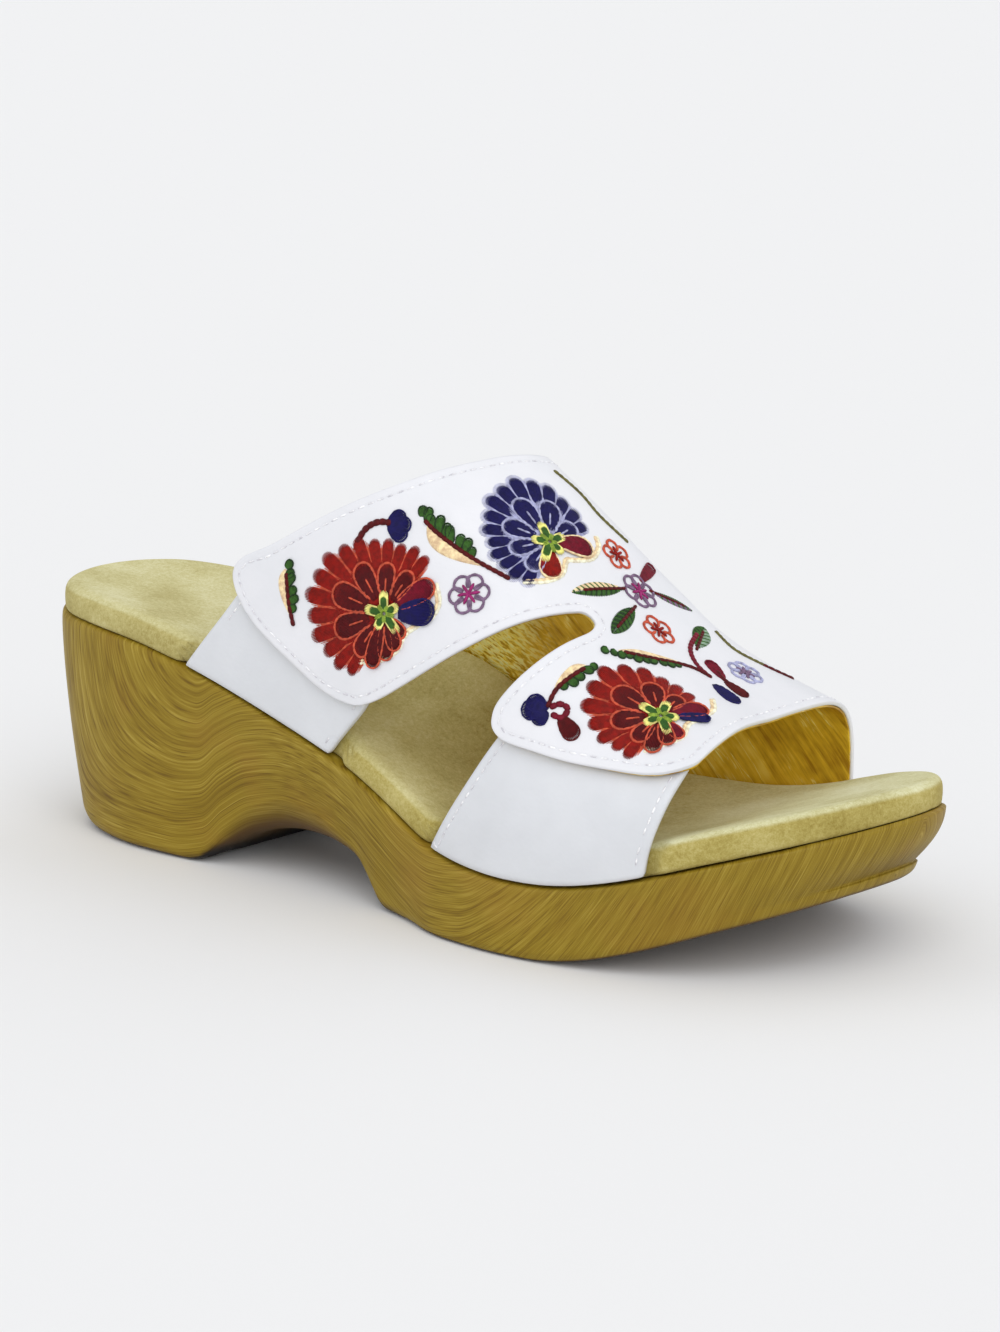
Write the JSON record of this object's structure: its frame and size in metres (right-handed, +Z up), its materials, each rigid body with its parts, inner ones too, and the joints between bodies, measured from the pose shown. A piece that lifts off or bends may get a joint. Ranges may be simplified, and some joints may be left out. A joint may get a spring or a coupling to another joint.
{
  "type": "wedge slide sandal",
  "caption": "Women's wedge slide sandal: wood-look moulded sole with heel and rocker toe, suede footbed, white leather upper with embroidered flowers and hook-and-loop side tabs.",
  "frame": {"origin": "centre of the shoe's box in plan, on the floor under the sole", "axes": "+X towards the toe, +Y towards the inner side of the foot, +Z up"},
  "size_m": [0.2518, 0.0934, 0.113],
  "materials": {
    "wedge_sole": "moulded, wood-grain look, satin",
    "footbed": "khaki suede",
    "upper": "smooth white, embroidered",
    "anchor_straps": "smooth white"
  },
  "bodies": {
    "root": {"wedge_sole": "wedge_sole", "footbed": "footbed", "upper": "upper", "instep_anchor_strap": "anchor_straps", "toe_anchor_strap": "anchor_straps"}
  },
  "joints": []
}
